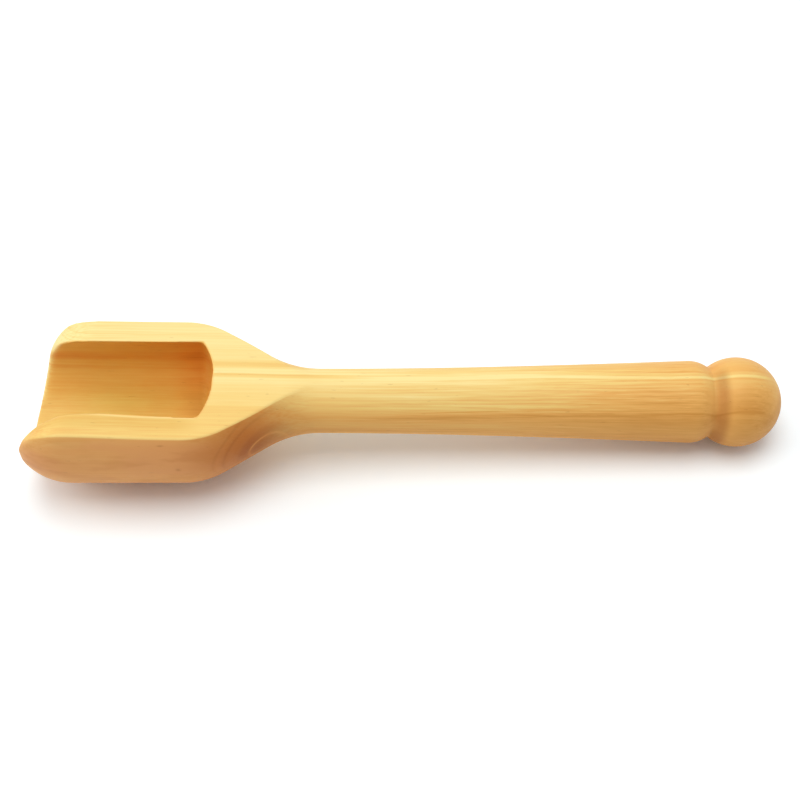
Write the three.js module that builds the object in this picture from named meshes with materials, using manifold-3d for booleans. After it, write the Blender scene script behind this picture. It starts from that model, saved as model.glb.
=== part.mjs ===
// Salt scoop turned from one boxwood blank, lying on a table with its hollow upward.
// Millimetres. +X runs from the bowl to the knob, +Y away from the viewer, +Z up.
import * as THREE from 'three';
import { mergeVertices } from 'three/addons/utils/BufferGeometryUtils.js';
import Module from 'manifold-3d';

const degrees = THREE.MathUtils.degToRad;

// Bowl
const bowlDiameter = 32.2;
const noseLength = 13.9;
const barrelLength = 21.5;
const shoulderRadius = 16.2;
const flankAngle = degrees(30);

// Neck and handle
const neckDiameter = 12.7;
const neckFilletRadius = 19.8;
const handleLength = 73.4;
const handleEndDiameter = 16.4;
const handleSwellStart = 28;

// Groove and knob
const handleEndRound = 6.2;
const grooveDiameter = 13.7;
const knobDiameter = 17.9;

// Planed flat on top: how much it rises towards the mouth, and how far it stays above the neck
const flatRise = degrees(0.85);
const flatRunOut = 0.02;

// Hollow bored along the turning axis
const hollowDiameter = 22.9;
const hollowDepth = 36.2;
const hollowEndCrown = 20;
const hollowCornerRadius = 1.6;

// Mouth: the front is dressed on a slant, a little askew, and rounded into the flat
const mouthSetback = 6.0;
const mouthSlant = degrees(9.8);
const mouthSkew = degrees(8.8);
const mouthCornerRadius = 10.6;

// Fineness of the curves, and how far a cutter reaches past what it cuts
const turnSegments = 48;
const arcDivisions = 5;
const cutterMargin = 4;

const bowlRadius = bowlDiameter / 2;
const neckRadius = neckDiameter / 2;
const handleEndRadius = handleEndDiameter / 2;
const grooveRadius = grooveDiameter / 2;
const knobRadius = knobDiameter / 2;
const hollowRadius = hollowDiameter / 2;

// Stations along the turning axis, counted from the bowl's foremost point before it is dressed
const barrelX = noseLength;
const shoulderX = barrelX + barrelLength;
const flankFall =
  bowlRadius - neckRadius - (shoulderRadius + neckFilletRadius) * (1 - Math.cos(flankAngle));
const neckX =
  shoulderX + (shoulderRadius + neckFilletRadius) * Math.sin(flankAngle) + flankFall / Math.tan(flankAngle);
const handleEndX = neckX + handleLength;
const endFall = handleEndRound - (handleEndRadius - grooveRadius);
const grooveX = handleEndX + Math.sqrt(handleEndRound ** 2 - endFall ** 2);
const knobX = grooveX + Math.sqrt(knobRadius ** 2 - grooveRadius ** 2);
const mouthX = mouthSetback;
const hollowEndX = mouthX + hollowDepth;

const wasm = await Module();
wasm.setup();

// A closed geometry as a solid that can be cut
function solidOf(geometry) {
  geometry.deleteAttribute('normal');
  geometry.deleteAttribute('uv');
  const merged = mergeVertices(geometry);
  const corners = merged.index.array;
  const triangles = [];
  for (let i = 0; i < corners.length; i += 3) {
    const [a, b, c] = corners.slice(i, i + 3);
    if (a !== b && b !== c && c !== a) triangles.push(a, b, c);
  }
  return new wasm.Manifold(new wasm.Mesh({
    numProp: 3,
    vertProperties: new Float32Array(merged.attributes.position.array),
    triVerts: new Uint32Array(triangles),
  }));
}

function geometryOf(solid) {
  const mesh = solid.getMesh();
  const geometry = new THREE.BufferGeometry();
  geometry.setAttribute('position', new THREE.BufferAttribute(mesh.vertProperties, 3));
  geometry.setIndex(new THREE.BufferAttribute(mesh.triVerts, 1));
  geometry.computeVertexNormals();
  return geometry;
}

// An outline of axial place and radius, turned about the X axis with a facet at the very bottom
function turned(outline) {
  const points = outline.getPoints(arcDivisions).map((p) => new THREE.Vector2(p.y, p.x));
  const geometry = new THREE.LatheGeometry(points, turnSegments, Math.PI / turnSegments);
  geometry.rotateZ(-Math.PI / 2);
  return geometry;
}

// The whole outside, from the bowl's nose to the end of the knob
function blankOutline() {
  const outline = new THREE.Path();
  outline.moveTo(0, 0);
  outline.absellipse(barrelX, 0, noseLength, bowlRadius, Math.PI, Math.PI / 2, true);
  outline.absarc(
    shoulderX, bowlRadius - shoulderRadius, shoulderRadius, Math.PI / 2, Math.PI / 2 - flankAngle, true,
  );
  outline.absarc(
    neckX, neckRadius + neckFilletRadius, neckFilletRadius, -Math.PI / 2 - flankAngle, -Math.PI / 2, false,
  );
  outline.quadraticCurveTo(neckX + handleSwellStart, neckRadius, handleEndX, handleEndRadius);
  outline.absarc(
    handleEndX, handleEndRadius - handleEndRound, handleEndRound,
    Math.PI / 2, Math.asin(endFall / handleEndRound), true,
  );
  outline.absarc(knobX, 0, knobRadius, Math.PI - Math.asin(grooveRadius / knobRadius), 0, true);
  return outline;
}

// The hollow: a straight bore that ends in a shallow dome with a rounded corner
function hollowOutline() {
  const cornerRise = hollowRadius - hollowCornerRadius;
  const crownToCorner = hollowEndCrown - hollowCornerRadius;
  const crownX = hollowEndX - hollowEndCrown;
  const cornerAngle = Math.asin(cornerRise / crownToCorner);
  const cornerX = crownX + crownToCorner * Math.cos(cornerAngle);
  const outline = new THREE.Path();
  outline.moveTo(-cutterMargin, 0);
  outline.lineTo(-cutterMargin, hollowRadius);
  outline.absarc(cornerX, cornerRise, hollowCornerRadius, Math.PI / 2, cornerAngle, true);
  outline.absarc(crownX, 0, hollowEndCrown, cornerAngle, 0, true);
  return outline;
}

// Side view of what the mouth's dressing takes away, drawn from the mouth's place on the axis,
// with the planed flat at the given height
function mouthCutterShape(flatHeight) {
  const reach = bowlRadius + cutterMargin;
  const cornerTurn = Math.PI / 2 - mouthSlant;
  const arcX = flatHeight * Math.tan(mouthSlant) + mouthCornerRadius * Math.tan(cornerTurn / 2);
  const shape = new THREE.Shape();
  shape.moveTo(arcX, flatHeight);
  shape.absarc(
    arcX, flatHeight - mouthCornerRadius, mouthCornerRadius, Math.PI / 2, Math.PI / 2 + cornerTurn, false,
  );
  shape.lineTo(-reach * Math.tan(mouthSlant), -reach);
  shape.lineTo(-2 * reach, -reach);
  shape.lineTo(-2 * reach, flatHeight + cutterMargin);
  shape.lineTo(arcX, flatHeight + cutterMargin);
  return shape;
}

// The scoop with its flat level, the turning axis starting at the origin
function scoopSolid() {
  const blank = solidOf(turned(blankOutline()).rotateY(-flatRise));
  const hollow = solidOf(turned(hollowOutline()).rotateY(-flatRise));

  const flatHeight = (neckRadius + flatRunOut) * Math.cos(flatRise) + neckX * Math.sin(flatRise);
  const flatEndX = neckX * Math.cos(flatRise) - neckRadius * Math.sin(flatRise);
  const flatReach = flatEndX + cutterMargin;
  const flatWidth = bowlDiameter + 2 * cutterMargin;
  const flatCutter = new THREE.BoxGeometry(flatReach, flatWidth, bowlDiameter);
  flatCutter.translate(flatEndX - flatReach / 2, 0, flatHeight + bowlDiameter / 2);

  const mouthHeight = mouthX * Math.sin(flatRise);
  const mouthCutter = new THREE.ExtrudeGeometry(mouthCutterShape(flatHeight - mouthHeight), {
    depth: 2 * flatWidth, bevelEnabled: false, curveSegments: arcDivisions,
  });
  mouthCutter.translate(0, 0, -flatWidth);
  mouthCutter.rotateX(Math.PI / 2);
  mouthCutter.rotateZ(-mouthSkew);
  mouthCutter.translate(mouthX * Math.cos(flatRise), 0, mouthHeight);

  return blank.subtract(hollow).subtract(solidOf(flatCutter)).subtract(solidOf(mouthCutter));
}

// The tilt at which the bowl's shoulder and the knob both touch the table
function restTilt() {
  const run = knobX - shoulderX;
  const rise = bowlRadius - shoulderRadius;
  return Math.atan2(rise, run) + Math.asin((shoulderRadius - knobRadius) / Math.hypot(run, rise));
}

const boxwood = new THREE.MeshStandardMaterial({ color: 0xe3b873, roughness: 0.55, metalness: 0 });
const scoop = new THREE.Mesh(geometryOf(scoopSolid()), boxwood);
scoop.name = 'scoop';

const pose = new THREE.Group();
pose.rotation.y = restTilt() + flatRise;
pose.add(scoop);

const group = new THREE.Group();
group.name = 'salt_scoop';
group.add(pose);
group.updateMatrixWorld(true);

// The origin lies on the table, under the middle of the scoop
const box = new THREE.Box3().setFromObject(pose, true);
const middle = box.getCenter(new THREE.Vector3());
pose.position.set(-middle.x, -middle.y, -box.min.z);

export default group;
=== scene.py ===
"""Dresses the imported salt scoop: one turned, planed and hollowed piece of boxwood on a pale floor."""

from math import asin, atan2, cos, hypot, pi, radians, sin, sqrt, tan

import bmesh
import bpy
from bpy.props import FloatProperty, FloatVectorProperty, PointerProperty
from mathutils import Matrix, Vector
from mathutils.geometry import interpolate_bezier


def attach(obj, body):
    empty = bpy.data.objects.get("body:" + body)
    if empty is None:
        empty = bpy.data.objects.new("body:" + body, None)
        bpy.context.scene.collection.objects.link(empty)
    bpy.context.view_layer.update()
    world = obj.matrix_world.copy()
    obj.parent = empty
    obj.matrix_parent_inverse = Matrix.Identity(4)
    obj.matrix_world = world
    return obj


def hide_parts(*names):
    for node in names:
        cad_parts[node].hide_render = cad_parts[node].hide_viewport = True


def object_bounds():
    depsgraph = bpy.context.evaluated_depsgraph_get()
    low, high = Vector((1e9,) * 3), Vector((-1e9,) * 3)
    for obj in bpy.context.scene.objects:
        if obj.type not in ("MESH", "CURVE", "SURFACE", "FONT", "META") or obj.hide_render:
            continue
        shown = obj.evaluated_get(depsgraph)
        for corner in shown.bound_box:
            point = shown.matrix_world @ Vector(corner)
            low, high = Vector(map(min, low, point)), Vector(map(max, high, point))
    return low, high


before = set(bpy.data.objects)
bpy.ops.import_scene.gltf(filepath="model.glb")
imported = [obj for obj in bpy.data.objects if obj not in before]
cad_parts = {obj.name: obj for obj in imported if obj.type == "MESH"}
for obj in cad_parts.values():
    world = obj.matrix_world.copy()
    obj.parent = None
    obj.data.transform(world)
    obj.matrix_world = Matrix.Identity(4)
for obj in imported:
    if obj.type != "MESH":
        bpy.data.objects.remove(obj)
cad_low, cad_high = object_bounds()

bl_info = {
    "name": "Salt scoop",
    "version": (1, 0, 0),
    "blender": (4, 5, 0),
    "location": "3D View > Sidebar > Salt scoop",
    "description": "Turns a boxwood salt scoop and sets it on a pale floor in soft light",
    "category": "Object",
}

MM = 0.001

# How far a cutter reaches past what it cuts, and the faces that the finished mesh keeps
CUTTER_MARGIN = 4 * MM
FACES_KEPT = 95000

# Crown of the near rim: how far its middle lies behind that of the dressed nose, half its length, where it
# grows on the near side, how deep it reaches, and where close to the bore it leans inward
CROWN_SETBACK = 4.5 * MM
CROWN_HALF = 17 * MM
CROWN_NEAR = (4 * MM, 9 * MM)
CROWN_DEPTH = 7 * MM
LEAN_REACH = 0.5 * MM
LEAN_START = (9 * MM, 21 * MM)
LEAN_END = (-33 * MM, -23 * MM)

# Where the hollow's end is skewed: along, across, up, and by distance beyond its dome
SKEW_ALONG = (33 * MM, 37 * MM)
SKEW_ACROSS = (-1 * MM, 5 * MM)
SKEW_UP = (-6 * MM, 3 * MM)
SKEW_BEYOND = (-2.2 * MM, -0.3 * MM)

# Smoothing passes that give an arris a round of one facet, and where the rounder edges fade out
# behind the mouth: at the lip, and on the near inner rim
PASSES_PER_FACET = 2.5
LIP_FADE = (-4.5 * MM, -0.5 * MM)
NEAR_RIM_FADE = (-15 * MM, -5 * MM)

FLOOR_SIZE = 3.0
SENSOR_WIDTH = 36.0


# Properties

def length(name, description, millimetres):
    """A length that the user gives in the scene's units."""
    return FloatProperty(
        name=name, description=description, default=millimetres * MM, min=0.0, precision=5,
        subtype="DISTANCE", unit="LENGTH",
    )


def angle(name, description, degrees):
    """An angle that the user gives in degrees."""
    return FloatProperty(
        name=name, description=description, default=radians(degrees), subtype="ANGLE", unit="ROTATION",
    )


def colour(name, description, rgb):
    """A linear colour."""
    return FloatVectorProperty(
        name=name, description=description, default=rgb, size=3, min=0.0, max=2.0, subtype="COLOR",
    )


class ScoopSizes(bpy.types.PropertyGroup):
    """Sizes of the turned scoop, the same as those of the solid."""

    bowl_diameter: length("Bowl diameter", "Widest turned diameter of the bowl", 32.2)
    nose_length: length("Nose length", "From the undressed nose to the bowl's straight part", 13.9)
    barrel_length: length("Barrel length", "Straight part of the bowl", 21.5)
    shoulder_radius: length("Shoulder radius", "Round from the bowl's straight part to the flank", 16.2)
    flank_angle: angle("Flank angle", "Slope of the flank between the bowl and the neck", 30.0)
    neck_diameter: length("Neck diameter", "Thinnest place of the handle", 12.7)
    neck_fillet: length("Neck fillet", "Hollow round from the flank to the neck", 19.8)
    handle_length: length("Handle length", "From the neck to the start of the end round", 73.4)
    handle_end_diameter: length("Handle end diameter", "Thickest place of the handle", 16.4)
    handle_swell_start: length("Swell start", "How far from the neck the handle starts to swell", 28.0)
    handle_end_round: length("End round", "Round from the handle into the groove", 6.2)
    groove_diameter: length("Groove diameter", "Bottom of the groove before the knob", 13.7)
    knob_diameter: length("Knob diameter", "Ball at the end of the handle", 17.9)
    flat_rise: angle("Flat rise", "How much the planed flat rises towards the mouth", 0.85)
    flat_run_out: length("Flat run-out", "How far the flat stays above the neck", 0.02)
    hollow_diameter: length("Hollow diameter", "Bore of the hollow", 22.9)
    hollow_depth: length("Hollow depth", "From the mouth to the end of the hollow", 36.2)
    hollow_crown: length("Hollow crown", "Radius of the hollow's domed end", 20.0)
    hollow_corner: length("Hollow corner", "Round between the hollow's wall and its end", 1.6)
    mouth_setback: length("Mouth setback", "From the undressed nose to the dressed mouth", 6.0)
    mouth_slant: angle("Mouth slant", "Slant of the mouth in side view", 9.8)
    mouth_skew: angle("Mouth skew", "Turn of the mouth in top view", 8.8)
    mouth_corner: length("Mouth corner", "Round from the mouth into the flat", 10.6)
    rim_crown: length("Rim crown", "How much the near rim stands proud where it was finished by hand", 0.45)
    end_skew: length("End skew", "How much deeper the hollow's end runs on its far side", 0.36)
    arris: length("Arris", "Round on the rim's edges", 0.3)
    lip_round: length("Lip round", "Round on the edges of the mouth", 1.4)
    facet: length("Facet", "Fineness of the surface while it is shaped", 0.25)


class BoxwoodColours(bpy.types.PropertyGroup):
    """Colours of the oiled boxwood."""

    # The pale colour is also that of the painted highlight along the rim's arrises.
    pale: colour("Pale wood", "Lightest growth zones", (0.95, 0.760, 0.325))
    tan: colour("Tan wood", "Ordinary growth zones", (0.89, 0.615, 0.197))
    orange: colour("Orange wood", "Warm streaks between the pale zones", (0.84, 0.440, 0.117))
    amber: colour("Amber wood", "Deepest streaks of the handle", (0.67, 0.298, 0.061))
    # Partly painted shade: this colour also stands for the redder shade on the bowl's near, lower side.
    rosy_and_shade: colour("Rosy wood", "Outer growth on the near side of the bowl", (0.79, 0.362, 0.121))
    blotch: colour("Blotch tint", "Soft darker patches on the side of the bowl", (0.91, 0.85, 0.79))
    russet: colour("Russet wood", "Flank between the bowl and the neck", (0.60, 0.180, 0.023))
    brown: colour("Brown wood", "Dark figure in the flank", (0.30, 0.068, 0.008))
    # Partly painted shade: the hollow tint is also the bored end grain's own deeper colour, and it is
    # strongest high on the wall.
    hollow: colour("Hollow tint", "Deepens the colour of the bored hollow", (0.93, 0.70, 0.41))
    # Painted shade that dulls the lower wall of the hollow towards its end.
    hollow_floor_shade: colour("Hollow floor tint", "Dulls the lower wall of the hollow", (0.82, 0.99, 0.82))
    rim: colour("Rim tint", "Warms the inner edge of the near rim", (0.92, 0.86, 0.73))
    # The groove tint darkens a narrow strip round the turned groove, fading towards the far side.
    groove: colour("Groove tint", "Stain in the turned groove", (0.72, 0.62, 0.57))
    ring_spacing: FloatProperty(
        name="Ring spacing", description="Width of a growth ring in millimetres", default=0.80, min=0.1,
    )


class StageSettings(bpy.types.PropertyGroup):
    """Floor, light and camera."""

    floor: colour("Floor", "Colour of the floor", (0.93, 0.93, 0.93))
    floor_seen: colour("Floor as seen", "Colour that the camera sees in full light", (1.05, 1.11, 1.13))
    floor_near: length("Floor near", "Distance at which the floor starts to turn white", 110.0)
    floor_far: length("Floor far", "Distance at which the floor is all white", 260.0)
    sky: colour("Sky", "Soft light from above", (0.53, 0.55, 0.58))
    horizon: colour("Horizon", "Soft light from low in front", (0.08, 0.082, 0.086))
    wall: colour("Wall", "Soft light from low behind", (0.82, 0.85, 0.89))
    key: colour("Key light", "Colour of the lamps", (1.0, 0.98, 0.955))
    key_power: FloatProperty(
        name="Key power", description="Power of the lamp above", default=3.2, min=0.0, unit="POWER",
    )
    side_power: FloatProperty(
        name="Side power", description="Power of the lamp on the left", default=1.75, min=0.0, unit="POWER",
    )
    key_elevation: angle("Key elevation", "Height of the lamp above, over the floor", 88.0)
    side_elevation: angle("Side elevation", "Height of the lamp on the left above the floor", 35.0)
    lamp_distance: length("Lamp distance", "Distance of both lamps", 800.0)
    lamp_size: length("Lamp size", "Side of both square lamps", 560.0)
    camera_elevation: angle("Camera elevation", "How far the camera looks down", 51.609)
    camera_azimuth: angle("Camera azimuth", "Turn of the view from straight across the scoop", 0.564)
    camera_roll: angle("Camera roll", "Turn of the picture about the view", -1.743)
    camera_distance: length("Camera distance", "From the lens to the point it aims at", 293.43)
    aim: FloatVectorProperty(
        name="Aim", description="Point that the camera looks at", size=3, subtype="XYZ", unit="LENGTH",
        default=(-0.895 * MM, 1.326 * MM, 12.0 * MM),
    )
    lens: FloatProperty(
        name="Lens", description="Focal length on a 36 mm sensor, in mm", default=66.395, min=1.0,
    )


# Shape

class Stations:
    """Places along the turning axis that follow from the sizes, counted from the undressed nose."""

    def __init__(self, sizes):
        self.bowl = sizes.bowl_diameter / 2
        self.neck = sizes.neck_diameter / 2
        self.handle_end = sizes.handle_end_diameter / 2
        self.groove = sizes.groove_diameter / 2
        self.knob = sizes.knob_diameter / 2
        self.hollow = sizes.hollow_diameter / 2

        self.barrel_x = sizes.nose_length
        self.shoulder_x = self.barrel_x + sizes.barrel_length
        rounds = sizes.shoulder_radius + sizes.neck_fillet
        flank_fall = self.bowl - self.neck - rounds * (1 - cos(sizes.flank_angle))
        flank_run = rounds * sin(sizes.flank_angle) + flank_fall / tan(sizes.flank_angle)
        self.neck_x = self.shoulder_x + flank_run
        self.handle_end_x = self.neck_x + sizes.handle_length
        self.end_fall = sizes.handle_end_round - (self.handle_end - self.groove)
        self.groove_x = self.handle_end_x + sqrt(sizes.handle_end_round ** 2 - self.end_fall ** 2)
        self.knob_x = self.groove_x + sqrt(self.knob ** 2 - self.groove ** 2)
        self.mouth_x = sizes.mouth_setback
        self.hollow_end_x = self.mouth_x + sizes.hollow_depth

        rise = sizes.flat_rise
        self.flat_height = (self.neck + sizes.flat_run_out) * cos(rise) + self.neck_x * sin(rise)
        self.flat_end_x = self.neck_x * cos(rise) - self.neck * sin(rise)

        run = self.knob_x - self.shoulder_x
        drop = self.bowl - sizes.shoulder_radius
        fall = asin((sizes.shoulder_radius - self.knob) / hypot(run, drop))
        self.rest_tilt = atan2(drop, run) + fall

    def rest_place(self):
        """Where the undressed nose lies when the shoulder and the knob touch the floor."""
        x = cad_high.x - self.knob - self.knob_x * cos(self.rest_tilt)
        z = cad_low.z + self.knob + self.knob_x * sin(self.rest_tilt)
        return Vector((x, 0.0, z))


def arc(centre, radii, start, end, steps=16):
    """Points of an upright elliptic arc in the XZ plane, from the start angle to the end angle."""
    turns = [start + (end - start) * i / steps for i in range(steps + 1)]
    return [Vector((centre[0] + radii[0] * cos(t), 0.0, centre[1] + radii[1] * sin(t))) for t in turns]


def blank_outline(sizes, at):
    """The whole outside as turned, from the nose to the end of the knob."""
    nose = arc((at.barrel_x, 0.0), (sizes.nose_length, at.bowl), pi, pi / 2, 24)
    shoulder = arc(
        (at.shoulder_x, at.bowl - sizes.shoulder_radius), (sizes.shoulder_radius,) * 2,
        pi / 2, pi / 2 - sizes.flank_angle,
    )
    fillet = arc(
        (at.neck_x, at.neck + sizes.neck_fillet), (sizes.neck_fillet,) * 2,
        -pi / 2 - sizes.flank_angle, -pi / 2,
    )
    neck = Vector((at.neck_x, 0.0, at.neck))
    swell = Vector((at.neck_x + sizes.handle_swell_start, 0.0, at.neck))
    end = Vector((at.handle_end_x, 0.0, at.handle_end))
    handle = interpolate_bezier(neck, neck.lerp(swell, 2 / 3), end.lerp(swell, 2 / 3), end, 24)
    end_round = arc(
        (at.handle_end_x, at.handle_end - sizes.handle_end_round), (sizes.handle_end_round,) * 2,
        pi / 2, asin(at.end_fall / sizes.handle_end_round),
    )
    knob = arc((at.knob_x, 0.0), (at.knob,) * 2, pi - asin(at.groove / at.knob), 0.0, 32)
    return nose + shoulder + fillet + handle[1:] + end_round[1:] + knob[1:]


def hollow_outline(sizes, at):
    """The hollow: a straight bore that ends in a shallow dome with a rounded corner."""
    corner_rise = at.hollow - sizes.hollow_corner
    crown_to_corner = sizes.hollow_crown - sizes.hollow_corner
    crown_x = at.hollow_end_x - sizes.hollow_crown
    turn = asin(corner_rise / crown_to_corner)
    corner_x = crown_x + crown_to_corner * cos(turn)
    front = [Vector((-CUTTER_MARGIN, 0.0, radius)) for radius in (0.0, at.hollow)]
    corner = arc((corner_x, corner_rise), (sizes.hollow_corner,) * 2, pi / 2, turn, 10)
    dome = arc((crown_x, 0.0), (sizes.hollow_crown,) * 2, turn, 0.0, 14)
    return front + corner + dome[1:]


def new_piece(name, bm, scale=1.0):
    """An object with the bmesh as its mesh, in the scene."""
    bmesh.ops.remove_doubles(bm, verts=bm.verts, dist=0.001 * MM)
    bmesh.ops.recalc_face_normals(bm, faces=bm.faces)
    bmesh.ops.scale(bm, vec=(scale,) * 3, verts=bm.verts)
    mesh = bpy.data.meshes.new(name)
    bm.to_mesh(mesh)
    bm.free()
    piece = bpy.data.objects.new(name, mesh)
    bpy.context.scene.collection.objects.link(piece)
    return piece


def turned(name, outline, tilt):
    """An outline of axial place and radius, spun about the X axis and tilted."""
    bm = bmesh.new()
    points = [bm.verts.new(place) for place in outline]
    lines = [bm.edges.new(pair) for pair in zip(points, points[1:])]
    bmesh.ops.spin(
        bm, geom=points + lines, axis=(1, 0, 0), cent=(0, 0, 0), angle=2 * pi, steps=128, use_merge=True,
    )
    bmesh.ops.rotate(bm, verts=bm.verts, cent=(0, 0, 0), matrix=Matrix.Rotation(tilt, 3, "Y"))
    return new_piece(name, bm, 1 / MM)


def corner_start(sizes, at):
    """How far behind the mouth its corner runs out into the flat."""
    height = at.flat_height - at.mouth_x * sin(sizes.flat_rise)
    turn = pi / 2 - sizes.mouth_slant
    return height * tan(sizes.mouth_slant) + sizes.mouth_corner * tan(turn / 2)


def dressing_cutter(sizes, at):
    """What planing the flat and dressing the mouth take away.
    Its underside is level, then round into a slant, a little askew."""
    height = at.flat_height - at.mouth_x * sin(sizes.flat_rise)
    reach = at.bowl + CUTTER_MARGIN
    width = 4 * at.bowl
    turn = pi / 2 - sizes.mouth_slant
    arc_x = corner_start(sizes, at)
    corner = arc(
        (arc_x, height - sizes.mouth_corner), (sizes.mouth_corner,) * 2, pi / 2, pi / 2 + turn, 24,
    )
    foot = Vector((-reach * tan(sizes.mouth_slant), 0.0, -reach))
    front_foot = Vector((-2 * reach, 0.0, -reach))
    front_top = Vector((-2 * reach, 0.0, height + at.bowl))
    back_top = Vector((at.flat_end_x - at.mouth_x, 0.0, height + at.bowl))
    back_foot = Vector((at.flat_end_x - at.mouth_x, 0.0, height))
    bm = bmesh.new()
    outline = corner + [foot, front_foot, front_top, back_top, back_foot]
    side = bm.faces.new([bm.verts.new(place) for place in outline])
    grown = bmesh.ops.extrude_face_region(bm, geom=[side])["geom"]
    far = [part for part in grown if isinstance(part, bmesh.types.BMVert)]
    bmesh.ops.translate(bm, vec=(0, width, 0), verts=far)
    bmesh.ops.translate(bm, vec=(0, -width / 2, 0), verts=bm.verts)
    bmesh.ops.rotate(bm, verts=bm.verts, cent=(0, 0, 0), matrix=Matrix.Rotation(-sizes.mouth_skew, 3, "Z"))
    place = Vector((at.mouth_x * cos(sizes.flat_rise), 0.0, at.mouth_x * sin(sizes.flat_rise)))
    bmesh.ops.translate(bm, vec=place, verts=bm.verts)
    return new_piece("dressing_cutter", bm, 1 / MM)


def settle(piece):
    """Makes the piece's modifiers part of its mesh."""
    graph = bpy.context.evaluated_depsgraph_get()
    rough = piece.data
    piece.data = bpy.data.meshes.new_from_object(piece.evaluated_get(graph), depsgraph=graph)
    piece.modifiers.clear()
    bpy.data.meshes.remove(rough)


def carve(piece, cutter):
    """Takes the cutter's form out of the piece."""
    cut = piece.modifiers.new("carve", "BOOLEAN")
    cut.operation = "DIFFERENCE"
    cut.solver = "EXACT"
    cut.object = cutter
    settle(piece)
    bpy.data.objects.remove(cutter)


def ease(value, low, high):
    """A smooth step from 0 at the low value to 1 at the high one."""
    share = min(max((value - low) / (high - low), 0.0), 1.0)
    return share * share * (3 - 2 * share)


def raise_near_rim(bm, sizes, at):
    """Gives the near rim the slight crown that finishing by hand left."""
    middle = (at.mouth_x + at.barrel_x) / 2 + CROWN_SETBACK
    for vert in bm.verts:
        off = abs(vert.co.x - middle) / CROWN_HALF
        if off >= 1.0 or vert.co.y >= 0.0:
            continue
        share = cos(off * pi / 2) ** 2 * ease(-vert.co.y, *CROWN_NEAR)
        share *= ease(vert.co.z, at.flat_height - CROWN_DEPTH, at.flat_height)
        vert.co.z += sizes.rim_crown * share
        if hypot(vert.co.y, vert.co.z) < at.hollow + LEAN_REACH:
            inward = ease(vert.co.x, *LEAN_START) * ease(-vert.co.x, *LEAN_END)
            vert.co.y += 0.9 * sizes.rim_crown * inward * ease(vert.co.z, 1 * MM, at.flat_height)


def skew_hollow_end(bm, sizes, at):
    """Lets the far side of the hollow's end run a little deeper, as boring by hand left it."""
    reach = at.hollow_end_x - sizes.hollow_crown
    centre = Vector((reach * cos(sizes.flat_rise), 0.0, reach * sin(sizes.flat_rise)))
    for vert in bm.verts:
        beyond = (vert.co - centre).length - sizes.hollow_crown
        share = ease(vert.co.x, *SKEW_ALONG) * ease(vert.co.y, *SKEW_ACROSS)
        share *= ease(vert.co.z, *SKEW_UP) * ease(-beyond, *SKEW_BEYOND)
        vert.co.x += sizes.end_skew * share


def sand(bm, sizes, at):
    """Softens the arrises: lightly all over, more at the mouth and on the near inner rim behind it."""
    skew = Vector((cos(sizes.mouth_skew), -sin(sizes.mouth_skew), 0.0))
    to_passes = PASSES_PER_FACET / sizes.facet ** 2

    def passes(place):
        from_mouth = place.dot(skew) - at.mouth_x * skew.x
        radius = sizes.arris + (sizes.lip_round - sizes.arris) * ease(-from_mouth, *LIP_FADE)
        inside = ease(-hypot(place.y, place.z), -at.hollow - 1.6 * MM, -at.hollow - 0.8 * MM)
        if place.y < 0.0:
            front = ease(-from_mouth, *NEAR_RIM_FADE) * inside
            radius = max(radius, sizes.arris + 0.8 * (sizes.lip_round - sizes.arris) * front)
        return round(to_passes * radius ** 2)

    wanted = {vert: passes(vert.co) for vert in bm.verts}
    turn = 0
    while wanted:
        wanted = {vert: count for vert, count in wanted.items() if count > turn}
        bmesh.ops.smooth_vert(
            bm, verts=list(wanted), factor=0.5, use_axis_x=True, use_axis_y=True, use_axis_z=True,
        )
        turn += 1


def shape_scoop(sizes):
    """Turns the blank, bores the hollow, planes the flat, dresses the mouth and sands the arrises.
    The cutting is done at a thousand times the size, where Boolean keeps the mesh closed."""
    at = Stations(sizes)
    scoop = turned("boxwood_scoop", blank_outline(sizes, at), -sizes.flat_rise)
    carve(scoop, turned("hollow_cutter", hollow_outline(sizes, at), -sizes.flat_rise))
    carve(scoop, dressing_cutter(sizes, at))
    even = scoop.modifiers.new("even", "REMESH")
    even.mode = "VOXEL"
    even.voxel_size = sizes.facet / MM
    settle(scoop)

    bm = bmesh.new()
    bm.from_mesh(scoop.data)
    bmesh.ops.scale(bm, vec=(MM,) * 3, verts=bm.verts)
    raise_near_rim(bm, sizes, at)
    skew_hollow_end(bm, sizes, at)
    sand(bm, sizes, at)
    bmesh.ops.rotate(
        bm, verts=bm.verts, cent=(0, 0, 0), matrix=Matrix.Rotation(at.rest_tilt + sizes.flat_rise, 3, "Y"),
    )
    bmesh.ops.translate(bm, vec=at.rest_place(), verts=bm.verts)
    for face in bm.faces:
        face.smooth = True
    bm.to_mesh(scoop.data)
    bm.free()
    thin = scoop.modifiers.new("thin", "DECIMATE")
    thin.ratio = FACES_KEPT / len(scoop.data.polygons)
    settle(scoop)
    return scoop


# Wood

def add(tree, kind, **settings):
    """A node with the given settings."""
    node = tree.nodes.new("ShaderNode" + kind)
    for name, value in settings.items():
        setattr(node, name, value)
    return node


def feed(tree, socket, value):
    """Links an output to the input, or sets the input's own value."""
    if isinstance(value, bpy.types.NodeSocket):
        tree.links.new(value, socket)
    else:
        socket.default_value = value


def sums(tree, operation, first, second=0.0, third=0.0, clamp=False):
    """One step of arithmetic."""
    node = add(tree, "Math", operation=operation, use_clamp=clamp)
    for socket, value in zip(node.inputs, (first, second, third)):
        feed(tree, socket, value)
    return node.outputs["Value"]


def times(tree, first, *others):
    """The product of all the values."""
    for other in others:
        first = sums(tree, "MULTIPLY", first, other)
    return first


def most(tree, first, *others):
    """The largest of all the values."""
    for other in others:
        first = sums(tree, "MAXIMUM", first, other)
    return first


def left_over(tree, share):
    """What a share leaves of the whole."""
    return sums(tree, "SUBTRACT", 1.0, share)


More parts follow.
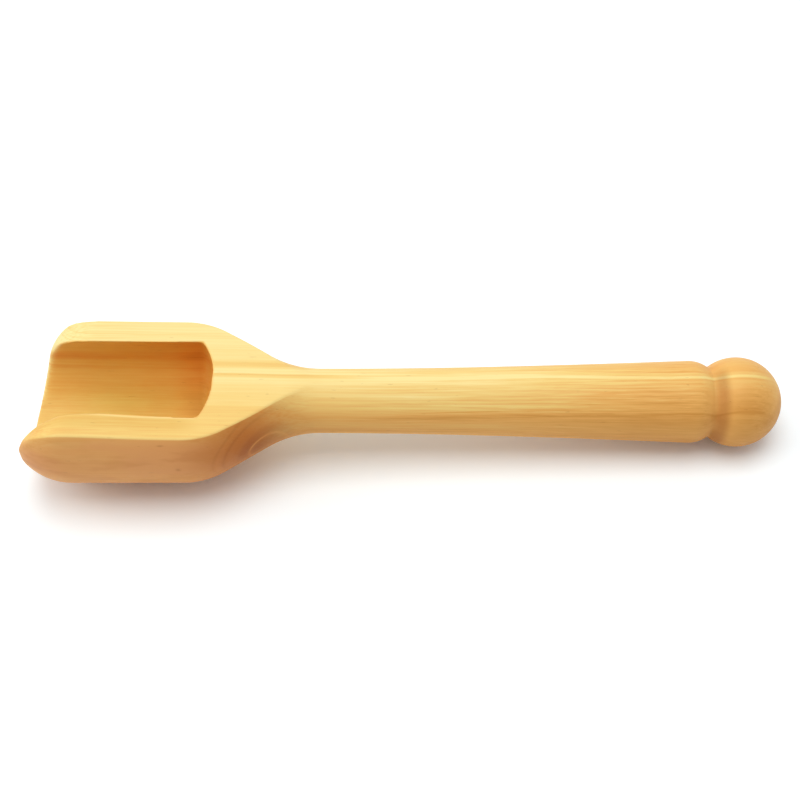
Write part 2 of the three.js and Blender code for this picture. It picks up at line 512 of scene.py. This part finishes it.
def centred(tree, noise):
    """Noise that swings about 0."""
    return sums(tree, "SUBTRACT", noise, 0.5)


def vectors(tree, operation, first, second=(0.0, 0.0, 0.0), output="Vector"):
    """One step of vector arithmetic."""
    node = add(tree, "VectorMath", operation=operation)
    feed(tree, node.inputs[0], first)
    feed(tree, node.inputs[1], second)
    return node.outputs[output]


def blend(tree, kind, amount, first, second):
    """Two colours blended by an amount."""
    node = add(tree, "Mix", data_type="RGBA", blend_type=kind, clamp_factor=True)
    feed(tree, node.inputs["Factor"], amount)
    feed(tree, node.inputs[6], first)
    feed(tree, node.inputs[7], second)
    return node.outputs[2]


def cloud(tree, place, stretch, detail, shift=(0.0, 0.0, 0.0)):
    """Noise whose cells per millimetre are given along, across and up."""
    moved = vectors(tree, "ADD", vectors(tree, "MULTIPLY", place, stretch), shift)
    node = add(tree, "TexNoise", noise_dimensions="3D")
    feed(tree, node.inputs["Vector"], moved)
    feed(tree, node.inputs["Scale"], 1.0)
    feed(tree, node.inputs["Detail"], detail)
    return node


def span(tree, value, low, high, to_low=0.0, to_high=1.0):
    """Carries a value smoothly from one range to another."""
    node = add(tree, "MapRange", interpolation_type="SMOOTHSTEP")
    for socket, number in zip(node.inputs, (value, low, high, to_low, to_high)):
        feed(tree, socket, number)
    return node.outputs["Result"]


def window(tree, value, rise, fall):
    """A smooth share that is 1 between the rise and the fall, and 0 outside them."""
    return times(tree, span(tree, value, *rise), span(tree, value, *fall, 1.0, 0.0))


def ladder(tree, value, stops, reach=1.0):
    """A value that follows the stops along a ramp, which ends at the reach."""
    node = add(tree, "ValToRGB")
    steps = node.color_ramp.elements
    while len(steps) < len(stops):
        steps.new(0.5)
    for step, (position, level) in zip(steps, stops):
        step.position = position / reach
        step.color = (level, level, level, 1.0)
    feed(tree, node.inputs["Fac"], sums(tree, "DIVIDE", value, reach))
    return node.outputs["Color"]


def new_group(name, inputs, outputs):
    """An empty shader node group with the named sockets."""
    tree = bpy.data.node_groups.new(name, "ShaderNodeTree")
    for socket, kind in inputs:
        tree.interface.new_socket(socket, in_out="INPUT", socket_type="NodeSocket" + kind)
    for socket, kind in outputs:
        tree.interface.new_socket(socket, in_out="OUTPUT", socket_type="NodeSocket" + kind)
    return tree, tree.nodes.new("NodeGroupInput"), tree.nodes.new("NodeGroupOutput")


# Places in the blank and sizes of its figure, in millimetres along, across and up from the undressed nose
PITH = (0.0, 19.5, 15.5)
SWAY = (0.0, 3.4, 3.4)
EYE = (50.3, -9.9, -1.9)
EYE_SIZE = (9.7, 5.6, 5.6)
EYE_HEART = (51.9, 0.0, -2.4)
FLANK = (46.8, -11.3, 1.5)
FLANK_SIZE = (8.8, 8.6, 9.0)
NICK = (32.1, -15.15, 5.4)
NICK_SIZE = (0.6, 0.5, 0.18)
DOT = (35.1, -16.06, -0.96)
DOT_SIZE = (0.45, 0.45, 0.45)

# Dark of one growth line over its width
LINE_PROFILE = ((0.0, 0.0), (0.45, 0.12), (0.80, 0.85), (0.90, 1.0), (0.98, 0.25), (1.0, 0.0))

# Pale of the eye's rings against the millimetres from its heart
EYE_REACH = 14.0
EYE_RINGS = (
    (0.0, 0.10), (2.9, 0.05), (3.4, 0.25), (3.7, 1.00), (4.0, 0.20), (4.4, 0.00), (5.4, 0.05), (6.2, 0.32),
    (7.3, 0.36), (7.9, 0.28), (8.4, 0.00), (8.9, 0.28), (9.7, 0.36), (10.3, 0.06), (10.8, 0.32), (14.0, 0.30),
)

# Plain noises of the fibre: cells per millimetre, detail and shift
FIBRES = {
    "Fine": ((0.035, 2.6, 2.6), 3.0, (0.0, 0.0, 0.0)),
    "Broad": ((0.009, 0.30, 0.30), 2.0, (4.0, 0.0, 9.0)),
    "Mottle": ((0.05, 0.14, 0.14), 3.0, (2.0, 5.0, 1.0)),
    "Blotch": ((0.10, 0.22, 0.30), 3.0, (6.0, 1.0, 4.0)),
}

# Tone at which the wood is amber
DEEPEST_TONE = 1.3

# Tone of the growth against the millimetres from the pith: zones, warm bands of the flat, lines of the
# handle. The pale zone that takes in the far rim is partly painted light.
PITH_REACH = 50.0
ZONES_AND_FAR_RIM_LIGHT = (
    (0.0, 0.10), (15.0, 0.03), (20.5, 0.06), (21.7, 0.10), (22.6, 0.28), (24.0, 0.40),
    (25.8, 0.56), (27.3, 0.62), (28.75, 0.76), (30.7, 0.86), (32.0, 0.85), (50.0, 0.85),
)
FLAT_BANDS = (
    (0.0, 0.0), (16.8, 0.0), (17.3, 0.34), (17.8, 0.55), (18.4, 0.46), (19.1, 0.0),
    (20.1, 0.0), (20.4, 0.64), (20.95, 0.50), (21.45, 0.0),
)
HANDLE_LINES = (
    (0.0, 0.66), (19.4, 0.65), (20.4, 0.5), (20.75, 0.10), (21.15, 0.05), (21.325, 0.45), (21.4, 0.74),
    (21.55, 0.70), (21.75, 0.52), (25.0, 0.5), (27.25, 0.5), (28.1, 0.58), (28.55, 0.60), (28.7, 0.82),
    (28.9, 0.79), (29.1, 0.58), (30.0, 0.5),
)


def distance(tree, place, middle, size):
    """How far a place is from the middle, as a share of the size."""
    off = vectors(tree, "DIVIDE", vectors(tree, "SUBTRACT", place, middle), size)
    return vectors(tree, "LENGTH", off, output="Value")


def swelling(tree, off):
    """A value of 1 at the middle that dies away with the distance."""
    return sums(tree, "EXPONENT", times(tree, times(tree, off, off), -1.0))


def ring_lines(tree, count):
    """Growth lines, one at the end of each whole count, some of them stronger than others."""
    line = ladder(tree, sums(tree, "FRACT", count), LINE_PROFILE)
    each = add(tree, "TexWhiteNoise", noise_dimensions="1D")
    feed(tree, each.inputs["W"], sums(tree, "FLOOR", count))
    return times(tree, line, sums(tree, "MULTIPLY_ADD", each.outputs["Value"], 0.8, 0.2))


def eye_figure(tree, place):
    """The rings of the eye in the flank, and its dark middle."""
    waver = cloud(tree, place, (0.07, 0.11, 0.11), 1.0, (3.0, 6.0, 2.0)).outputs["Fac"]
    from_eye = sums(tree, "MULTIPLY_ADD", waver, 0.4, distance(tree, place, EYE, EYE_SIZE))
    from_heart = vectors(tree, "MULTIPLY", vectors(tree, "SUBTRACT", place, EYE_HEART), (1.0, 0.0, 1.0))
    from_heart = vectors(tree, "LENGTH", from_heart, output="Value")
    from_heart = sums(tree, "MULTIPLY_ADD", centred(tree, waver), 2.0, from_heart)
    return ladder(tree, from_heart, EYE_RINGS, EYE_REACH), swelling(tree, from_eye)


def grain_streaks(tree, along, reach):
    """Warm bands that end on the neck, the lines that run on along the handle, and its warm far edge."""
    bands = times(tree, ladder(tree, reach, FLAT_BANDS, PITH_REACH), span(tree, along, 58.0, 78.0, 1.0, 0.1))
    lines = centred(tree, ladder(tree, reach, HANDLE_LINES, PITH_REACH))
    lines = times(tree, lines, span(tree, along, 146.0, 152.0, 1.0, 0.15))
    streak = sums(tree, "MULTIPLY_ADD", lines, span(tree, along, 60.0, 92.0, 0.25, 1.0), bands)
    far_edge = window(tree, along, (60.0, 72.0), (95.0, 125.0))
    far_edge = times(tree, far_edge, span(tree, reach, 18.8, 20.3, 0.20, 0.0))
    return sums(tree, "ADD", streak, far_edge)


def growth_group():
    """Growth rings round a pith beyond the blank, with one small eye in the flank."""
    tree, given, result = new_group(
        "Boxwood growth", [("Place", "Vector"), ("Ring Spacing", "Float")],
        [(name, "Float") for name in ("Ring", "Arc", "Zone", "Streak", "Eye", "Flank", "Outer")],
    )
    place = given.outputs["Place"]
    sway = cloud(tree, place, (0.016, 0.05, 0.05), 2.0).outputs["Color"]
    sway = vectors(tree, "MULTIPLY", vectors(tree, "SUBTRACT", sway, (0.5, 0.5, 0.5)), SWAY)
    from_pith = vectors(tree, "SUBTRACT", vectors(tree, "ADD", place, sway), PITH)
    across = vectors(tree, "MULTIPLY", from_pith, (0.0, 1.0, 1.0))
    reach = vectors(tree, "LENGTH", across, output="Value")

    drift = add(tree, "TexNoise", noise_dimensions="1D")
    feed(tree, drift.inputs["W"], reach)
    feed(tree, drift.inputs["Scale"], 0.45)
    feed(tree, drift.inputs["Detail"], 1.0)
    count = sums(tree, "MULTIPLY_ADD", drift.outputs["Fac"], 2.2, reach)
    count = sums(tree, "DIVIDE", count, given.outputs["Ring Spacing"])
    feed(tree, result.inputs["Ring"], ring_lines(tree, count))

    rings, middle = eye_figure(tree, place)
    feed(tree, result.inputs["Arc"], rings)
    feed(tree, result.inputs["Eye"], middle)
    feed(tree, result.inputs["Flank"], swelling(tree, distance(tree, place, FLANK, FLANK_SIZE)))

    parts = add(tree, "SeparateXYZ")
    feed(tree, parts.inputs["Vector"], place)
    feed(tree, result.inputs["Zone"], ladder(tree, reach, ZONES_AND_FAR_RIM_LIGHT, PITH_REACH))
    feed(tree, result.inputs["Streak"], grain_streaks(tree, parts.outputs["X"], reach))
    feed(tree, result.inputs["Outer"], span(tree, reach, 33.5, 37.0))
    return tree


def fibre_group():
    """Fine fibres, broad bands, short flecks and pores, all drawn out along the blank."""
    tree, given, result = new_group(
        "Boxwood fibre", [("Place", "Vector")],
        [(name, "Float") for name in ("Fine", "Broad", "Fleck", "Pore", "Mottle", "Blotch")],
    )
    place = given.outputs["Place"]
    for name, (stretch, detail, shift) in FIBRES.items():
        feed(tree, result.inputs[name], cloud(tree, place, stretch, detail, shift).outputs["Fac"])
    fleck = cloud(tree, place, (0.17, 3.7, 3.7), 1.0, (7.0, 3.0, 0.0)).outputs["Fac"]
    light = span(tree, fleck, 0.60, 0.74)
    feed(tree, result.inputs["Fleck"], sums(tree, "SUBTRACT", span(tree, fleck, 0.26, 0.40, 1.0, 0.0), light))
    pore = cloud(tree, place, (0.55, 3.6, 3.6), 0.0, (1.0, 8.0, 5.0)).outputs["Fac"]
    feed(tree, result.inputs["Pore"], span(tree, pore, 0.80, 0.86))
    return tree


def place_group(tree, group, **sockets):
    """A group's node in the tree, with its inputs fed."""
    node = add(tree, "Group", node_tree=group)
    for name, value in sockets.items():
        feed(tree, node.inputs[name.replace("_", " ")], value)
    return node


class Boxwood:
    """Oiled boxwood with its grain along the turning axis. Places in it are in millimetres of the blank."""

    def __init__(self, sizes, colours):
        self.sizes = sizes
        self.colours = colours
        self.at = Stations(sizes)
        self.material = bpy.data.materials.new("boxwood")
        self.material.use_nodes = True
        self.tree = self.material.node_tree
        self.lay_blank()
        self.find_bored()
        self.find_planed()
        self.find_edge_highlight()
        self.find_lively()
        self.colour_wood()
        self.tint_turned()
        self.tint_worked()
        self.finish()

    def lay_blank(self):
        """Carries Object coordinates into the blank: along, across and up from the undressed nose."""
        tree, at = self.tree, self.at
        home = Matrix.Rotation(-at.rest_tilt, 3, "Y") @ at.rest_place()
        blank = add(tree, "Mapping", vector_type="POINT")
        feed(tree, blank.inputs["Vector"], add(tree, "TexCoord").outputs["Object"])
        feed(tree, blank.inputs["Location"], -home / MM)
        feed(tree, blank.inputs["Rotation"], (0.0, -at.rest_tilt, 0.0))
        feed(tree, blank.inputs["Scale"], (1 / MM,) * 3)
        self.place = blank.outputs["Vector"]
        parts = add(tree, "SeparateXYZ")
        feed(tree, parts.inputs["Vector"], self.place)
        self.along = parts.outputs["X"]
        self.across = parts.outputs["Y"]
        self.up = parts.outputs["Z"]
        from_axis = vectors(tree, "MULTIPLY", self.place, (0.0, 1.0, 1.0))
        self.radius = vectors(tree, "LENGTH", from_axis, output="Value")
        spacing = self.colours.ring_spacing
        self.growth = place_group(tree, growth_group(), Place=self.place, Ring_Spacing=spacing).outputs
        self.fibre = place_group(tree, fibre_group(), Place=self.place).outputs

    def find_bored(self):
        """Where the surface was bored, and the low front of the hollow, which is painted lighter."""
        tree, sizes, at = self.tree, self.sizes, self.at
        bore = at.hollow / MM
        crown = sizes.hollow_crown / MM
        reach = at.hollow_end_x / MM - crown
        crown_place = add(tree, "CombineXYZ")
        skewed = span(tree, self.across, -1.0, 5.0, reach, reach + sizes.end_skew / MM)
        feed(tree, crown_place.inputs["X"], skewed)
        from_crown = vectors(tree, "SUBTRACT", self.place, crown_place.outputs["Vector"])
        from_crown = vectors(tree, "MAXIMUM", from_crown, (0.0, -100.0, -100.0))
        to_end = vectors(tree, "LENGTH", from_crown, output="Value")
        wall = span(tree, self.radius, bore - 0.1, bore + 0.5, 1.0, 0.0)
        dome = span(tree, to_end, crown - 0.1, crown + 0.5, 1.0, 0.0)
        self.bored = times(tree, wall, dome)
        low = span(tree, self.up, -9.8, -7.6, 1.0, 0.0)
        self.painted_light_low_front = times(tree, span(tree, self.along, 8.0, 26.0, 0.7, 0.0), low)

    def find_planed(self):
        """Where the surface was planed flat or dressed at the mouth."""
        tree, sizes, at = self.tree, self.sizes, self.at
        rise, skew = sizes.flat_rise, sizes.mouth_skew
        level = vectors(tree, "DOT_PRODUCT", self.place, (sin(rise), 0.0, cos(rise)), output="Value")
        crowned = window(tree, self.along, (-2.5, 14.5), (14.5, 31.5))
        crowned = times(tree, crowned, span(tree, self.across, -9.0, -4.0, 1.0, 0.0))
        level = sums(tree, "MULTIPLY_ADD", crowned, -sizes.rim_crown / MM, level)
        from_mouth = vectors(tree, "DOT_PRODUCT", self.place, (cos(skew), -sin(skew), 0.0), output="Value")
        corner = sizes.mouth_corner / MM
        start = (at.mouth_x * cos(skew) + corner_start(sizes, at)) / MM
        ahead = sums(tree, "SUBTRACT", start, from_mouth)
        above = sums(tree, "SUBTRACT", level, at.flat_height / MM - corner)
        to_corner = add(tree, "CombineXYZ")
        feed(tree, to_corner.inputs["X"], most(tree, ahead, 0.0))
        feed(tree, to_corner.inputs["Y"], most(tree, above, 0.0))
        to_corner = vectors(tree, "LENGTH", to_corner.outputs["Vector"], output="Value")
        neck_x = at.neck_x / MM
        self.planed = times(
            tree, span(tree, to_corner, corner - 0.30, corner - 0.15),
            span(tree, self.along, neck_x - 8.0, neck_x, 1.0, 0.0), left_over(tree, self.bored),
        )

    def find_edge_highlight(self):
        """Where a painted highlight lies pale along the rim's arrises."""
        tree, at = self.tree, self.at
        bore, bowl, hollow_end = at.hollow / MM, at.bowl / MM, at.hollow_end_x / MM
        inner = times(
            tree, window(tree, self.radius, (bore + 0.05, bore + 0.2), (bore + 0.3, bore + 0.6)),
            window(tree, self.along, (12.0, 24.0), (hollow_end - 5.0, hollow_end - 3.0)),
        )
        outer = times(tree, span(tree, self.radius, bowl - 0.55, bowl - 0.2), self.planed)
        self.edge_highlight = sums(tree, "MULTIPLY_ADD", outer, 0.18, times(tree, inner, 0.55))

    def find_lively(self):
        """How strongly the fine lines show: less where the wood is worked flat, pale or cut across."""
        tree, at = self.tree, self.at
        knob_x, groove_x, handle_end = at.knob_x / MM, at.groove_x / MM, at.handle_end_x / MM
        waist = span(tree, self.along, handle_end, handle_end + 3.0)
        waist = times(tree, waist, span(tree, self.along, groove_x + 3.0, groove_x + 7.0, 0.85, 0.5))
        calm = most(
            tree, times(tree, self.planed, span(tree, self.along, 14.0, 36.0, 0.0, 0.6)),
            times(tree, self.bored, 0.45),
            span(tree, self.growth["Zone"], 0.72, 0.84, 0.0, 0.5),
            times(tree, span(tree, self.along, knob_x - 1.0, knob_x + 6.0), 0.8),
            times(tree, window(tree, self.along, (40.0, 50.0), (60.0, 80.0)), 0.55),
            waist,
        )
        self.lively = left_over(tree, calm)

    def outside_tone(self):
        """Growth zones, with painted light on the far rim, streaks and fibres set the tone, which warms
        towards the knob.
        """
        tree, at, growth, fibre = self.tree, self.at, self.growth, self.fibre
        zone = times(tree, growth["Zone"], sums(tree, "MULTIPLY_ADD", self.planed, -0.32, 1.0))
        bared = times(tree, self.bored, span(tree, self.along, 12.0, 28.0, 0.35, 0.75))
        streak = times(tree, growth["Streak"], left_over(tree, bared))
        zone = sums(tree, "ADD", zone, streak)
        tone = sums(tree, "MULTIPLY_ADD", centred(tree, fibre["Broad"]), 0.7, zone)
        fine = span(tree, self.along, 85.0, 110.0, 1.1, 0.8)
        rings = times(tree, growth["Ring"], 0.26)
        lines = sums(tree, "MULTIPLY_ADD", centred(tree, fibre["Fine"]), fine, rings)
        flecks = times(tree, fibre["Fleck"], span(tree, self.along, 75.0, 105.0, 0.10, 0.14))
        lines = sums(tree, "ADD", lines, flecks)
        tone = sums(tree, "MULTIPLY_ADD", lines, self.lively, tone)
        warm = span(tree, self.along, 90.0, at.handle_end_x / MM)
        warm = times(tree, warm, sums(tree, "MULTIPLY_ADD", growth["Zone"], -0.40, 0.60))
        knob_warm = span(tree, self.along, at.groove_x / MM, at.knob_x / MM, 0.0, 0.06)
        return sums(tree, "ADD", tone, sums(tree, "ADD", warm, knob_warm))

    def inside_tone_and_shade(self, tone):
        """The hollow is deeper in tone: partly its own colour, partly painted shade towards its end, on its
        far side and high on its far wall, with painted light low at its front.
        """
        tree, fibre = self.tree, self.fibre
        depth_and_shade = span(tree, self.along, 20.0, self.at.hollow_end_x / MM, 0.26, 0.44)
        # Painted shade: the far side of the hollow darker, its near side lighter.
        depth_and_shade = sums(tree, "ADD", depth_and_shade, span(tree, self.across, -9.0, 9.0, -0.46, 0.36))
        # Painted shade: a darker ring round the wall at the height of the axis, which shows high on the far
        # wall.
        wall_shade_ring = times(tree, span(tree, self.up, -2.0, 0.3), span(tree, self.up, 0.3, 3.0, 0.24, 0.0))
        # Painted shade just before the dome end, which itself is painted lighter.
        end_shading = span(tree, self.along, 37.5, 40.5, 0.20, -0.14)
        end_shading = times(tree, span(tree, self.along, 31.0, 37.0), end_shading)
        depth_and_shade = sums(tree, "ADD", depth_and_shade, sums(tree, "ADD", wall_shade_ring, end_shading))
        depth_and_shade = sums(tree, "MULTIPLY_ADD", centred(tree, fibre["Blotch"]), 0.5, depth_and_shade)
        # Painted light: the low front of the hollow is lighter.
        depth_and_shade = sums(tree, "MULTIPLY_ADD", self.painted_light_low_front, -0.15, depth_and_shade)
        inside = sums(tree, "MULTIPLY_ADD", sums(tree, "SUBTRACT", tone, 0.4), 0.5, depth_and_shade)
        return sums(tree, "MULTIPLY_ADD", fibre["Fleck"], 0.08, inside)

    def colour_wood(self):
        """Turns the tone into the wood's colour, from pale to amber."""
        tree, colours = self.tree, self.colours
        tone = self.outside_tone()
        settled = add(tree, "Mix", data_type="FLOAT")
        feed(tree, settled.inputs["Factor"], self.bored)
        feed(tree, settled.inputs["A"], tone)
        feed(tree, settled.inputs["B"], self.inside_tone_and_shade(tone))
        wood = add(tree, "ValToRGB")
        steps = wood.color_ramp.elements
        steps[0].color = (*colours.pale, 1.0)
        steps[1].color = (*colours.amber, 1.0)
        for position, tint in ((0.38, colours.tan), (0.69, colours.orange)):
            steps.new(position).color = (*tint, 1.0)
        feed(tree, wood.inputs["Fac"], sums(tree, "DIVIDE", settled.outputs["Result"], DEEPEST_TONE))
        self.shade = wood.outputs["Color"]

    def tint(self, kind, amount, colour):
        """Blends a colour into the wood."""
        self.shade = blend(self.tree, kind, amount, self.shade, (*colour, 1.0))

    def tint_turned(self):
        """The rose-red side of the bowl, partly painted shade, its two marks, and the dark flank with its
        eye.
        """
        tree, colours, growth, fibre = self.tree, self.colours, self.growth, self.fibre
        turned_skin = left_over(tree, most(tree, self.planed, self.bored))
        # Partly painted shade: the rose-red outer growth also stands for the redder shade on the near, lower
        # side of the bowl.
        rosy_and_shade = times(tree, growth["Outer"], turned_skin, span(tree, fibre["Mottle"], 0.38, 0.62, 0.68, 1.0))
        self.tint("MIX", rosy_and_shade, colours.rosy_and_shade)
        blotch = times(tree, rosy_and_shade, span(tree, fibre["Blotch"], 0.46, 0.66, 0.0, 0.9))
        self.tint("MULTIPLY", blotch, colours.blotch)
        nick = swelling(tree, distance(tree, self.place, NICK, NICK_SIZE))
        dot = swelling(tree, distance(tree, self.place, DOT, DOT_SIZE))
        self.tint("MIX", times(tree, most(tree, nick, dot), 0.32), colours.brown)
        flank = times(tree, growth["Flank"], turned_skin, 0.9)
        self.tint("MIX", flank, colours.russet)
        self.tint("MIX", times(tree, fibre["Pore"], 0.22), colours.brown)
        eye = times(tree, growth["Eye"], turned_skin)
        shadows = sums(tree, "MULTIPLY_ADD", growth["Arc"], -0.75, 0.40, clamp=True)
        core = sums(tree, "MULTIPLY_ADD", eye, 0.45, times(tree, flank, shadows))
        self.tint("MIX", core, colours.brown)
        arcs = times(
            tree, flank, span(tree, growth["Arc"], 0.40, 1.0, 0.0, 0.5),
            span(tree, self.along, 50.2, 52.6, 1.0, 0.0), span(tree, self.up, -2.4, -0.6),
        )
        self.tint("MIX", arcs, colours.orange)

    def tint_worked(self):
        """The hollow with its painted shade, the near rim, the painted highlight on the arrises and the
        darker strip in the groove.
        """
        tree, colours = self.tree, self.colours
        # Painted shade: the hollow tint is partly the bored wood's own deeper colour and partly shade,
        # strongest high on the wall, kept off the painted-light low front.
        hollow_tint_and_shade = times(
            tree, self.bored, span(tree, self.up, -11.0, 0.0, 0.48, 1.0), left_over(tree, self.painted_light_low_front),
        )
        self.tint("MULTIPLY", hollow_tint_and_shade, colours.hollow)
        # Painted shade on the lower wall of the hollow, growing towards its end.
        lower_wall_shade = times(
            tree, self.bored, span(tree, self.up, -10.0, -4.0, 1.0, 0.0),
            span(tree, self.along, 6.0, 24.0, 0.3, 1.0),
        )
        self.tint("MULTIPLY", lower_wall_shade, colours.hollow_floor_shade)
        near_rim = times(
            tree, span(tree, self.across, -13.0, -11.2, 0.3, 1.0),
            span(tree, self.across, -7.5, -6.0, 1.0, 0.0),
            span(tree, self.along, 34.0, 40.0, 1.0, 0.0), self.planed,
        )
        self.tint("MULTIPLY", near_rim, colours.rim)
        # Painted highlight along the rim's arrises.
        self.tint("MIX", self.edge_highlight, colours.pale)
        # A darker strip round the turned groove, fading towards the far side.
        groove_x = self.at.groove_x / MM
        groove_band = window(tree, self.along, (groove_x - 1.0, groove_x + 1.1), (groove_x + 1.5, groove_x + 3.4))
        groove_band = times(tree, groove_band, span(tree, self.across, -0.5, 3.6, 1.0, 0.0))
        self.tint("MULTIPLY", groove_band, colours.groove)

    def finish(self):
        """Gives the skin its colour, its soft gloss and the fine relief of lines, fibres and pores."""
        tree, growth, fibre = self.tree, self.growth, self.fibre
        skin = tree.nodes["Principled BSDF"]
        feed(tree, skin.inputs["Base Color"], self.shade)
        skin.inputs["Specular IOR Level"].default_value = 0.16

        rough = sums(tree, "MULTIPLY_ADD", fibre["Fine"], 0.22, 0.36)
        feed(tree, skin.inputs["Roughness"], sums(tree, "MULTIPLY_ADD", growth["Ring"], 0.06, rough))

        relief = sums(tree, "MULTIPLY_ADD", growth["Ring"], -0.35, fibre["Fine"])
        relief = times(tree, relief, self.lively)
        relief = sums(tree, "MULTIPLY_ADD", fibre["Pore"], -1.2, relief)
        bump = add(tree, "Bump")
        feed(tree, bump.inputs["Strength"], 0.35)
        feed(tree, bump.inputs["Distance"], 0.05 * MM)
        feed(tree, bump.inputs["Height"], relief)
        feed(tree, skin.inputs["Normal"], bump.outputs["Normal"])


class SCOOP_OT_turn_scoop(bpy.types.Operator):
    """Turn the scoop from one blank of boxwood and give it its grain"""

    bl_idname = "scoop.turn_scoop"
    bl_label = "Turn the scoop"

    def execute(self, context):
        sizes = context.scene.scoop_sizes
        scoop = shape_scoop(sizes)
        if not scoop.data.polygons:
            raise RuntimeError("the scoop came out empty; check its sizes")
        scoop.data.materials.clear()
        scoop.data.materials.append(Boxwood(sizes, context.scene.scoop_colours).material)
        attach(scoop, "root")
        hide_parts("scoop")
        return {"FINISHED"}


# Stage

def when_seen(tree):
    """1 where the camera looks, in reflections and through glass too, and 0 for other light."""
    path = add(tree, "LightPath").outputs
    return most(tree, path["Is Camera Ray"], path["Is Glossy Ray"], path["Is Transmission Ray"])


def pale_floor(stage):
    """A matt floor that the camera sees turn to plain white away from the scoop."""
    material = bpy.data.materials.new("pale_floor")
    material.use_nodes = True
    tree = material.node_tree
    skin = tree.nodes["Principled BSDF"]
    seen = when_seen(tree)
    tint = blend(tree, "MIX", seen, (*stage.floor, 1.0), (*stage.floor_seen, 1.0))
    feed(tree, skin.inputs["Base Color"], tint)
    skin.inputs["Roughness"].default_value = 1.0
    skin.inputs["Specular IOR Level"].default_value = 0.0

    white = add(tree, "Emission")
    far = vectors(tree, "LENGTH", add(tree, "TexCoord").outputs["Object"], output="Value")
    far = span(tree, far, stage.floor_near, stage.floor_far)
    joined = add(tree, "MixShader")
    feed(tree, joined.inputs["Fac"], times(tree, seen, far))
    feed(tree, joined.inputs[1], skin.outputs["BSDF"])
    feed(tree, joined.inputs[2], white.outputs["Emission"])
    feed(tree, tree.nodes["Material Output"].inputs["Surface"], joined.outputs["Shader"])
    return material


def hang_lamp(name, power, turn, height, stage):
    """A square lamp that faces the scoop from the given turn and height."""
    lamp = bpy.data.lights.new(name, "AREA")
    lamp.shape = "SQUARE"
    lamp.size = stage.lamp_size
    lamp.energy = power
    lamp.color = stage.key
    hung = bpy.data.objects.new(name, lamp)
    bpy.context.scene.collection.objects.link(hung)
    across = cos(height) * stage.lamp_distance
    hung.location = (cos(turn) * across, sin(turn) * across, sin(height) * stage.lamp_distance)
    hung.rotation_euler = (-hung.location).to_track_quat("-Z", "Y").to_euler()


class SCOOP_OT_set_stage(bpy.types.Operator):
    """Lay the floor, hang the lamps, set the sky and place the camera"""

    bl_idname = "scoop.set_stage"
    bl_label = "Set the stage"

    def execute(self, context):
        stage = context.scene.scoop_stage
        scene = context.scene
        scene.view_settings.view_transform = "Standard"

        bm = bmesh.new()
        bmesh.ops.create_grid(bm, x_segments=1, y_segments=1, size=FLOOR_SIZE)
        floor = new_piece("floor", bm)
        floor.data.materials.append(pale_floor(stage))

        world = bpy.data.worlds.new("soft_room")
        scene.world = world
        world.use_nodes = True
        tree = world.node_tree
        sky = tree.nodes["Background"]
        up = add(tree, "SeparateXYZ")
        feed(tree, up.inputs["Vector"], add(tree, "TexCoord").outputs["Generated"])
        low = blend(
            tree, "MIX", span(tree, up.outputs["Y"], -0.7, 0.7), (*stage.horizon, 1.0), (*stage.wall, 1.0),
        )
        soft = blend(tree, "MIX", up.outputs["Z"], low, (*stage.sky, 1.0))
        feed(tree, sky.inputs["Color"], blend(tree, "MIX", when_seen(tree), soft, (1.0, 1.0, 1.0, 1.0)))
        sky.inputs["Strength"].default_value = 1.0

        front, left = -pi / 2, pi
        hang_lamp("key_lamp", stage.key_power, front, stage.key_elevation, stage)
        hang_lamp("side_lamp", stage.side_power, left, stage.side_elevation, stage)

        lens = bpy.data.cameras.new("camera")
        lens.lens = stage.lens
        lens.sensor_width = SENSOR_WIDTH
        lens.clip_start = 0.01
        camera = bpy.data.objects.new("camera", lens)
        scene.collection.objects.link(camera)
        look = Vector((
            sin(stage.camera_azimuth) * cos(stage.camera_elevation),
            cos(stage.camera_azimuth) * cos(stage.camera_elevation),
            -sin(stage.camera_elevation),
        ))
        camera.location = Vector(stage.aim) - look * stage.camera_distance
        level_turn = look.to_track_quat("-Z", "Y").to_matrix()
        camera.rotation_euler = (level_turn @ Matrix.Rotation(stage.camera_roll, 3, "Z")).to_euler()
        scene.camera = camera
        return {"FINISHED"}


class VIEW3D_PT_salt_scoop(bpy.types.Panel):
    """Sizes, colours and making of the salt scoop"""

    bl_idname = "VIEW3D_PT_salt_scoop"
    bl_label = "Salt scoop"
    bl_space_type = "VIEW_3D"
    bl_region_type = "UI"
    bl_category = "Salt scoop"

    def draw(self, context):
        for group in ("scoop_sizes", "scoop_colours", "scoop_stage"):
            settings = getattr(context.scene, group)
            column = self.layout.box().column()
            for name in settings.__annotations__:
                column.prop(settings, name)
        self.layout.operator(SCOOP_OT_turn_scoop.bl_idname)
        self.layout.operator(SCOOP_OT_set_stage.bl_idname)


CLASSES = (
    ScoopSizes, BoxwoodColours, StageSettings, SCOOP_OT_turn_scoop, SCOOP_OT_set_stage, VIEW3D_PT_salt_scoop,
)


def register():
    for each in CLASSES:
        bpy.utils.register_class(each)
    bpy.types.Scene.scoop_sizes = PointerProperty(type=ScoopSizes)
    bpy.types.Scene.scoop_colours = PointerProperty(type=BoxwoodColours)
    bpy.types.Scene.scoop_stage = PointerProperty(type=StageSettings)


def unregister():
    del bpy.types.Scene.scoop_stage
    del bpy.types.Scene.scoop_colours
    del bpy.types.Scene.scoop_sizes
    for each in reversed(CLASSES):
        bpy.utils.unregister_class(each)


def main():
    register()
    bpy.ops.scoop.set_stage()
    bpy.ops.scoop.turn_scoop()


if __name__ == "__main__":
    main()
